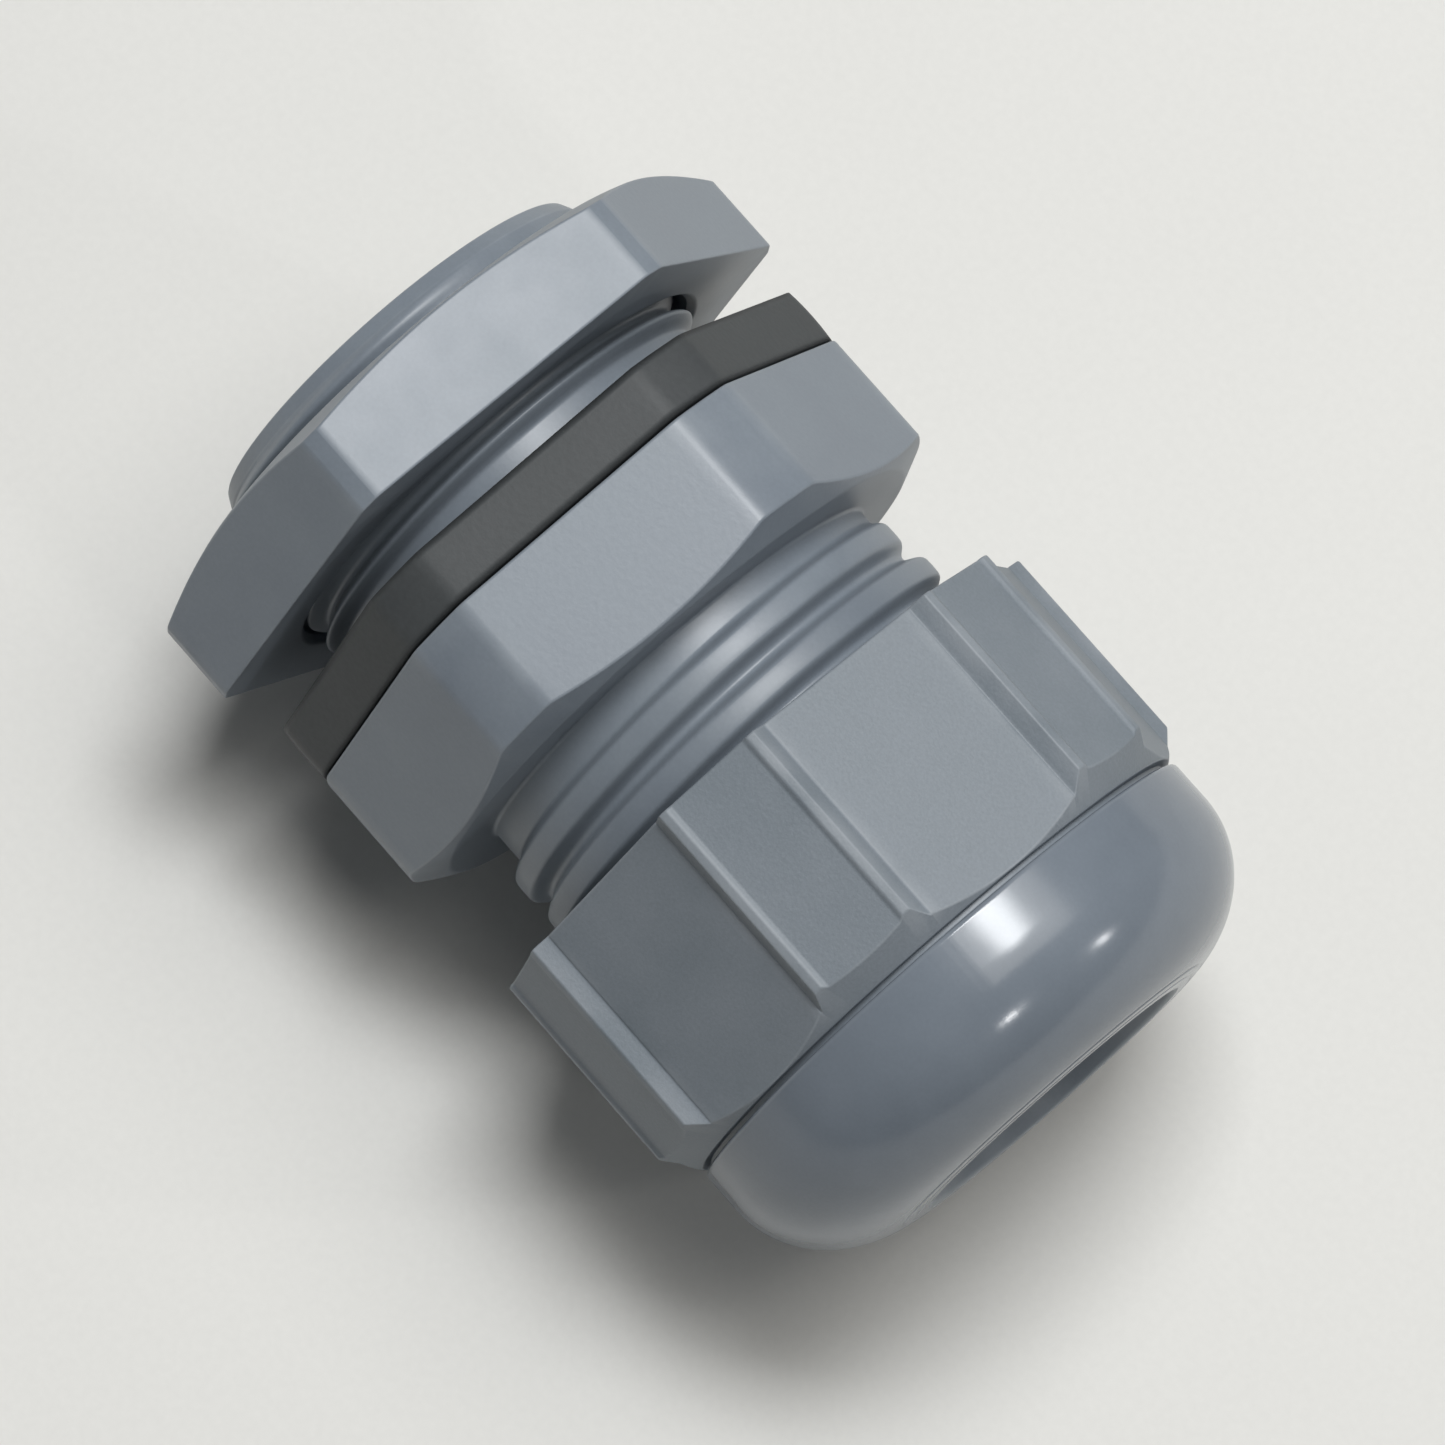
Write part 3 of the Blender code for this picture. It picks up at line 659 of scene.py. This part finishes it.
@dataclass
class GlandBody:
    """The body moulding: entry thread, hexagon, neck, coarse cap thread, cup and bore."""

    across_flats: float = 31.0
    corner_radius: float = 16.95
    turn_deg: float = 7.2
    flat_edge_reach: float = 0.3
    hexagon_length: float = 7.4
    chamfer: float = 0.9
    chamfer_inset: float = 0.4
    hexagon_start: float = 3.3
    entry_radius: float = 12.45
    entry_depth: float = 0.85
    entry_pitch: float = 1.5
    entry_bore: float = 8.5
    cap_radius: float = 13.1
    cap_depth: float = 0.9
    cap_pitch: float = 2.5
    cap_shift: float = -0.5
    cap_root_width: float = 2.1
    cap_crest_width: float = 1.3
    cap_neck: float = 0.5
    lead_in: float = 0.8
    cup_radius: float = 11.2
    cup_depth: float = 10.5
    start: float = field(default_factory=lambda: station("gland_body", 0))
    end: float = field(default_factory=lambda: station("gland_body", 1))

    def build(self) -> bpy.types.Object:
        """Build the moulding as one shell.

        Returns:
            The piece.
        """
        outline = Outline.hexagon(self.across_flats, self.corner_radius, self.flat_edge_reach,
                                  self.turn_deg)
        hexagon_end = self.hexagon_start + self.hexagon_length
        inset = self.across_flats / 2 - self.chamfer_inset
        slope = self.chamfer / (self.corner_radius - inset)
        chamfer_at = hexagon_end - slope * (outline.radius - inset)
        entry_core = self.entry_radius - self.entry_depth
        cap_core = self.cap_radius - self.cap_depth
        entry = Thread(self.entry_pitch, 0.0, entry_core, self.entry_radius, 1.1, 0.3)
        cap = Thread(self.cap_pitch, self.cap_shift, cap_core, self.cap_radius, self.cap_root_width,
                     self.cap_crest_width)
        thread_start = hexagon_end + self.cap_neck
        shell = TurnedShell(outline)
        shell.corner(self.start, self.entry_bore, 0.4)
        shell.corner(self.start, entry_core - self.lead_in / 2, 0.12)
        shell.corner(self.start + self.lead_in, entry_core, 0.1)
        shell.strip(*entry.rows(outline.angle, self.start + self.lead_in + 0.15, 0.6,
                                self.start + 1.1, -1.1))
        shell.corner(self.hexagon_start, entry_core, 0.2)
        shell.corner(self.hexagon_start, outline.radius, 0.18)
        shell.corner(chamfer_at, outline.radius, 0.12)
        shell.corner(hexagon_end, inset, 0.15)
        shell.corner(hexagon_end, cap_core, 0.25)
        shell.strip(*cap.rows(outline.angle, thread_start, self.end - self.lead_in,
                              thread_start + self.cap_root_width / 2,
                              self.end - self.lead_in - self.cap_root_width / 2),
                    Zone.POLISHED)
        shell.corner(self.end, cap_core - self.lead_in / 2, 0.1)
        shell.corner(self.end, self.cup_radius, 0.2)
        shell.corner(self.end - self.cup_depth, self.cup_radius, 0.2)
        shell.corner(self.end - self.cup_depth, self.entry_bore, 0.3)
        item = shell.build("body_moulding", corner_wear(outline))
        return dress(item, [SATIN_POLYAMIDE, ERODED_POLYAMIDE, SATIN_POLYAMIDE],
                     "body", ["gland_body"])


def corner_wear(outline: Outline) -> np.ndarray:
    """How sharply the outline turns at each column, from 0 on a flat to 1 at its sharpest edge."""
    points = np.stack([outline.radius * np.sin(outline.angle),
                       outline.radius * np.cos(outline.angle)], axis=1)[:-1]
    ahead = np.roll(points, -1, axis=0) - points
    behind = np.roll(ahead, 1, axis=0)
    turn = (np.arctan2(ahead[:, 0], ahead[:, 1]) - np.arctan2(behind[:, 0], behind[:, 1])
            + math.pi) % FULL_TURN - math.pi
    sharp = np.clip(turn / math.radians(5.0), 0.0, 1.0)
    return np.append(sharp, sharp[0])


@dataclass
class PanelSeal:
    """The flat gasket between the panel and the hexagon."""

    across_flats: float = 31.0
    corner_radius: float = 16.95
    turn_deg: float = 7.2
    inset: float = 0.1          # how far its edge stays inside the hexagon's
    hole: float = 12.75
    squeeze: float = 0.08       # how far its edge bulges where it is pressed
    gap: float = 0.12           # the fine dark line that stays under the hexagon
    seat: float = 3.3

    def build(self) -> bpy.types.Object:
        """Build the gasket.

        Returns:
            The piece.
        """
        outline = Outline.hexagon(self.across_flats - 2 * self.inset,
                                  self.corner_radius - self.inset, 0.35, self.turn_deg)
        top = self.seat - self.gap
        rise = np.linspace(0.0, 1.0, 9)
        bulge = self.squeeze * 4.0 * rise * (1.0 - rise)
        shell = TurnedShell(outline)
        shell.corner(0.0, self.hole, 0.1)
        shell.strip(top * rise[None, :], outline.radius[:, None] + bulge[None, :])
        shell.corner(top, self.hole, 0.1)
        item = shell.build("gasket")
        return dress(item, [NITRILE_GASKET], "body", ["panel_seal"])


@dataclass
class LockNut:
    """The hexagonal nut on the entry thread."""

    across_flats: float = 32.0
    corner_radius: float = 18.15
    chamfer: float = 1.0
    chamfer_inset: float = 0.4
    thread_root: float = 12.75
    thread_crest: float = 11.9
    pitch: float = 1.5
    start: float = field(default_factory=lambda: station("lock_nut", 0))
    end: float = field(default_factory=lambda: station("lock_nut", 1))

    def build(self) -> bpy.types.Object:
        """Build the nut, chamfered on the side away from the panel.

        Returns:
            The piece.
        """
        outline = Outline.hexagon(self.across_flats, self.corner_radius, 0.3)
        inset = self.across_flats / 2 - self.chamfer_inset
        slope = self.chamfer / (self.corner_radius - inset)
        chamfer_at = self.start + slope * (outline.radius - inset)
        thread = Thread(self.pitch, self.pitch / 2, self.thread_root, self.thread_crest, 0.7, 0.2)
        along, radius = thread.rows(outline.angle, self.start + 0.35, self.end - 0.35,
                                    self.start + 0.7, self.end - 0.7)
        shell = TurnedShell(outline)
        shell.corner(self.start, self.thread_root + 0.35, 0.12)
        shell.corner(self.start, inset, 0.15)
        shell.corner(chamfer_at, outline.radius, 0.12)
        shell.corner(self.end, outline.radius, 0.15)
        shell.corner(self.end, self.thread_root + 0.35, 0.12)
        shell.strip(along[:, ::-1], radius[:, ::-1])
        item = shell.build("back_nut", corner_wear(outline))
        return dress(item, [SATIN_POLYAMIDE], "lock_nut", ["lock_nut"])


@dataclass
class DomeNut:
    """The dome nut: a grip of six flats between ribs, a fine groove, a smooth dome, its inside."""

    across_flats: float = 31.0
    turn_deg: float = -10.9         # where a flat's middle lies, from +Z away from +Y
    rib_radius: float = 17.05
    rib_foot_deg: float = 17.7
    rib_top_start_deg: float = 19.6
    rib_top_end_deg: float = 21.2
    panel_edge_deg: float = 22.0
    panel_radius: float = 16.85
    rim_lines_deg: tuple[float, float] = (79.0, 85.5)   # two fine lines round the dome's end
    rim_line_width_deg: float = 0.7
    rim_line_depth: float = 0.07
    foot_line_deg: float = 0.28     # half the width of the fine line at a rib's foot
    foot_line_depth: float = 0.07
    chamfer_slope: float = 1.0
    chamfer_base: float = 15.45
    grip_length: float = 12.95
    groove_width: float = 0.3
    groove_radius: float = 14.9
    dome_radius: float = 15.55
    dome_length: float = 8.5
    dome_straight: float = 2.35
    dome_end_radius: float = 8.6
    mouth_radius: float = 8.0
    throat_radius: float = 7.4
    lip_length: float = 2.6
    cone_start_radius: float = 12.8
    cone_angle_deg: float = 25.0
    cone_length: float = 6.8
    rim_step: float = 0.5
    rim_hole: float = 14.15
    thread_root: float = 13.4
    thread_crest: float = 12.5
    thread_length: float = 8.0
    pitch: float = 2.5
    thread_shift: float = 0.75
    start: float = field(default_factory=lambda: station("dome_nut", 0))
    end: float = field(default_factory=lambda: station("dome_nut", 1))

    def grip_outline(self) -> Outline:
        """The grip seen along the axis, with a fine line along the foot of each rib.

        Returns:
            The outline.
        """
        foot = self.across_flats / 2 / math.cos(math.radians(self.rib_foot_deg))
        half = [
            (foot * math.cos(math.radians(self.rib_foot_deg))
             / math.cos(math.radians(self.rib_foot_deg - 2 * self.foot_line_deg)),
             self.rib_foot_deg - 2 * self.foot_line_deg),
            (foot - self.foot_line_depth, self.rib_foot_deg - self.foot_line_deg),
            (foot + 0.04, self.rib_foot_deg + 0.1),
            (self.rib_radius, self.rib_top_start_deg),
            (self.rib_radius, self.rib_top_end_deg),
            (self.panel_radius, self.panel_edge_deg),
        ]
        corners = []
        for flat in range(6):
            middle = 60.0 * flat - self.turn_deg
            corners += [(r, middle - a) for r, a in reversed(half)]
            corners += [(r, middle + a) for r, a in half]
        return Outline.polygon(corners, 0.09)

    def dome_section(self) -> tuple[np.ndarray, np.ndarray]:
        """The dome outside: a short straight wall, then a quarter ellipse with two fine rim lines.

        The point at angle t of the ellipse is (a sin t, b cos t), and a rim line is a Gaussian
        dent along the ellipse's normal.

        Returns:
            Places along the axis and radii, in mm.
        """
        length = self.dome_length - self.dome_straight
        depth = self.dome_radius - self.dome_end_radius
        t = np.unique(np.concatenate([np.linspace(0.0, 90.0, 31), np.linspace(76.0, 89.5, 40)]))
        dent = self.rim_line_depth * sum(
            np.exp(-((t - line) / self.rim_line_width_deg) ** 2) for line in self.rim_lines_deg)
        t = np.radians(t)
        out = np.stack([np.sin(t) / length, np.cos(t) / depth])
        out /= np.linalg.norm(out, axis=0)
        along = self.end - length + length * np.sin(t) - dent * out[0]
        radius = self.dome_end_radius + depth * np.cos(t) - dent * out[1]
        return along, radius

    def build(self) -> bpy.types.Object:
        """Build the nut as one shell.

        Returns:
            The piece.
        """
        outline = self.grip_outline()
        grip_end = self.start + self.grip_length
        dome_start = grip_end + self.groove_width
        lip_start = self.end - self.lip_length
        cone_start = lip_start - self.cone_length
        cone_end_radius = (self.cone_start_radius
                           - self.cone_length * math.tan(math.radians(self.cone_angle_deg)))
        chamfer_at = grip_end - self.chamfer_slope * (outline.radius - self.chamfer_base)
        thread = Thread(self.pitch, self.thread_shift, self.thread_root, self.thread_crest, 0.75,
                        0.25)
        step = self.start + self.rim_step
        along, radius = thread.rows(outline.angle, step + 0.3, self.start + self.thread_length
                                    + 0.8, step + 0.75, self.start + self.thread_length)
        shell = TurnedShell(outline)
        shell.corner(self.start, self.rim_hole, 0.15)
        shell.corner(self.start, outline.radius, 0.15, Zone.ERODED)
        shell.corner(chamfer_at, outline.radius, 0.1, Zone.ERODED)
        shell.corner(grip_end, self.chamfer_base, 0.08)
        shell.corner(grip_end, self.groove_radius, 0.08)
        shell.corner(dome_start, self.groove_radius, 0.08)
        shell.corner(dome_start, self.dome_radius, 0.3, Zone.POLISHED)
        shell.strip(*self.dome_section(), Zone.POLISHED)
        shell.corner(self.end, self.mouth_radius, 0.25)
        shell.corner(self.end - self.lip_length / 2, self.throat_radius, 0.4)
        shell.corner(lip_start, self.throat_radius, 0.25)
        shell.corner(lip_start, cone_end_radius, 0.2)
        shell.corner(cone_start, self.cone_start_radius, 0.4)
        shell.corner(cone_start - (self.thread_root - self.cone_start_radius), self.thread_root,
                     0.3)
        shell.strip(along[:, ::-1], radius[:, ::-1])
        shell.corner(step, self.thread_root, 0.12)
        shell.corner(step, self.rim_hole, 0.12)
        item = shell.build("dome_cap", corner_wear(outline))
        return dress(item, [SATIN_POLYAMIDE, ERODED_POLYAMIDE, POLISHED_POLYAMIDE],
                     "dome_nut", ["dome_nut"])


@dataclass
class ClampingCage:
    """The cage: a closed ring in the body's cup and twelve fingers that bend inwards."""

    wall: float = 1.6
    fingers: int = 12
    finger_arc_deg: float = 20.0
    thickness: float = 1.4
    touch_gap: float = 0.3
    outer: float = field(default_factory=lambda: outer_radius("cage_base"))
    start: float = field(default_factory=lambda: station("cage_base", 0))
    end: float = field(default_factory=lambda: station("cage_base", 1))

    def ring(self) -> bpy.types.Object:
        """Build the closed ring.

        Returns:
            The piece.
        """
        shell = TurnedShell(Outline.round())
        inner = self.outer - self.wall
        for along, radius in ((self.start, inner), (self.start, self.outer),
                              (self.end, self.outer), (self.end, inner)):
            shell.corner(along, radius, 0.25)
        item = shell.build("cage_ring")
        return dress(item, [CAGE_POLYAMIDE], "body", ["cage_base"])

    def finger(self, number: int) -> bpy.types.Object:
        """Build one finger, its hinge line just past the ring.

        Args:
            number: 1 to 12, counted from +Z towards +Y.

        Returns:
            The piece.
        """
        hinge = self.end + self.touch_gap
        middle_radius = self.outer - self.thickness / 2
        corners = np.array([(0.15, 0.7), (2.5, 0.7), (7.45, 2.25), (8.75, 1.644),
                            (8.75, 0.45), (0.15, -0.7)]) + (hinge, middle_radius)
        arcs = softened(np.roll(corners, 1, axis=0), corners, np.roll(corners, -1, axis=0), 0.2)
        half = math.radians(self.finger_arc_deg / 2)
        middle = FULL_TURN / self.fingers * (number - 1)
        angles = middle + np.linspace(-half, half, 11)
        name = f"lamella_{number:02d}"
        item = swept_block(f"cage_finger_{number:02d}", arcs.reshape(-1, 2), angles, 0.18,
                           middle_radius)
        return dress(item, [CAGE_POLYAMIDE], name, [name])

    def build(self) -> list[bpy.types.Object]:
        """Build the ring and all the fingers."""
        return [self.ring()] + [self.finger(i + 1) for i in range(self.fingers)]


@dataclass
class SealingRing:
    """The rubber ring round the cable, with a flange and fine lips in its bore."""

    bore: float = 6.3
    radius: float = 7.9
    flange_radius: float = 8.9
    flange_length: float = 2.6
    chamfer: float = 0.6
    lip_depth: float = 0.25
    lip_pitch: float = 3.0
    start: float = field(default_factory=lambda: station("sealing_ring", 0))
    end: float = field(default_factory=lambda: station("sealing_ring", 1))

    def build(self) -> bpy.types.Object:
        """Build the ring; its bore has shallow round grooves, deepest between the lips.

        Returns:
            The piece.
        """
        flange_end = self.start + self.flange_length
        low, high = self.start + 1.2, self.end - 1.2
        along = np.linspace(high, low, 90)
        wave = 0.5 - 0.5 * np.cos(FULL_TURN * (high - along) / self.lip_pitch)
        shell = TurnedShell(Outline.round())
        shell.corner(self.start, self.bore + self.chamfer, 0.2)
        shell.corner(self.start, self.flange_radius, 0.3)
        shell.corner(flange_end, self.flange_radius, 0.3)
        shell.corner(flange_end, self.radius, 0.25)
        shell.corner(self.end - self.chamfer, self.radius, 0.25)
        shell.corner(self.end, self.radius - self.chamfer, 0.25)
        shell.corner(self.end, self.bore + self.chamfer / 2, 0.15)
        shell.corner(self.end - self.chamfer, self.bore, 0.2)
        shell.strip(along, self.bore + self.lip_depth * wave)
        shell.corner(self.start + self.chamfer, self.bore, 0.2)
        item = shell.build("cable_seal")
        return dress(item, [CHLOROPRENE_RING], "seal_push",
                     ["sealing_ring"])


# ---------------------------------------------------------------- studio


@dataclass(frozen=True)
class Softbox:
    """A rectangular studio light, placed from the gland along the view's right, up and near."""

    name: str
    towards: tuple[float, float, float]
    distance: float
    width: float
    height: float
    watts: float
    colour: str = "#FFFFFF"


@dataclass
class Studio:
    """The camera, the pale floor and the soft lights."""

    right: tuple[float, float, float] = (0.65627, 0.75122, 0.07048)
    up: tuple[float, float, float] = (-0.74464, 0.62974, 0.22136)
    near: tuple[float, float, float] = (0.12191, -0.19776, 0.97267)
    distance: float = 0.3523
    lens: float = 175.0
    floor_colour: str = "#DAD9D5"
    floor_size: float = 4.0
    world_colour: str = "#E4E8EC"
    world_strength: float = 0.12
    softboxes: tuple[Softbox, ...] = (
        Softbox("window", (0.12, 0.47, 0.875), 0.7, 0.30, 0.17, 3.2, "#FBFDFF"),
        Softbox("overhead", (0.30, 0.42, 0.86), 1.1, 0.8, 0.8, 5.4, "#FFFDF9"),
        Softbox("glint_a", (0.94, -0.08, 0.35), 0.6, 0.025, 0.04, 0.2),
        Softbox("glint_b", (0.56, -0.46, 0.675), 0.6, 0.05, 0.03, 0.25),
    )

    def camera(self, centre: Vector) -> None:
        """Place the camera.

        Args:
            centre: The point that it looks at.
        """
        lens = bpy.data.cameras.new("view")
        lens.lens = self.lens
        lens.clip_start, lens.clip_end = 0.01, 20.0
        item = bpy.data.objects.new("view", lens)
        axes = Matrix([self.right, self.up, self.near]).transposed().to_4x4()
        item.matrix_world = Matrix.Translation(centre + Vector(self.near) * self.distance) @ axes
        bpy.context.scene.collection.objects.link(item)
        bpy.context.scene.camera = item

    def lights(self, centre: Vector) -> None:
        """Hang the softboxes and light the world evenly.

        Args:
            centre: The point that they face.
        """
        basis = Matrix([self.right, self.up, self.near]).transposed()
        for box in self.softboxes:
            data = bpy.data.lights.new(box.name, "AREA")
            data.shape = "RECTANGLE"
            data.size, data.size_y = box.width, box.height
            data.energy = box.watts
            data.color = srgb(box.colour)[:3]
            way = (basis @ Vector(box.towards)).normalized()
            item = bpy.data.objects.new(box.name, data)
            item.location = centre + way * box.distance
            item.rotation_euler = way.to_track_quat("Z", "Y").to_euler()
            bpy.context.scene.collection.objects.link(item)
        world = bpy.data.worlds.new("even_light")
        world.use_nodes = True
        ground = world.node_tree.nodes["Background"]
        ground.inputs["Color"].default_value = srgb(self.world_colour)
        ground.inputs["Strength"].default_value = self.world_strength
        bpy.context.scene.world = world

    def floor(self, height: float) -> None:
        """Lay a matt pale floor.

        Args:
            height: Where it lies, in metres.
        """
        half = self.floor_size / 2
        mesh = bpy.data.meshes.new("floor")
        mesh.from_pydata([(-half, -half, height), (half, -half, height), (half, half, height),
                          (-half, half, height)], [], [(0, 1, 2, 3)])
        item = bpy.data.objects.new("floor", mesh)
        paper = MouldedFinish(
            name="matt_board", colour=self.floor_colour, cloud="#DDDCD8", rubbed="#DDDCD8",
            roughness=0.85, roughness_spread=0.03, grain_size=0.8, grain_depth=0.01,
            speck_size=0.5, speck_share=0.012, ior=1.45, cloud_size=60.0)
        mesh.materials.append(paper.material())
        bpy.context.scene.collection.objects.link(item)

    def build(self) -> None:
        """Set up the whole studio round the gland."""
        low, high = CAD_BOX
        centre = Vector(((low.x + high.x) / 2, 0.0, 0.0))
        self.camera(centre)
        self.lights(centre)
        self.floor(low.z - 0.2 * MM)
        bpy.context.scene.view_settings.view_transform = "Standard"


def main() -> None:
    """Build every piece in order."""
    logging.basicConfig(level=logging.INFO, format="%(message)s")
    Studio().build()
    for maker in (GlandBody(), PanelSeal(), LockNut(), DomeNut(), ClampingCage(), SealingRing()):
        maker.build()


if __name__ == "__main__":
    main()
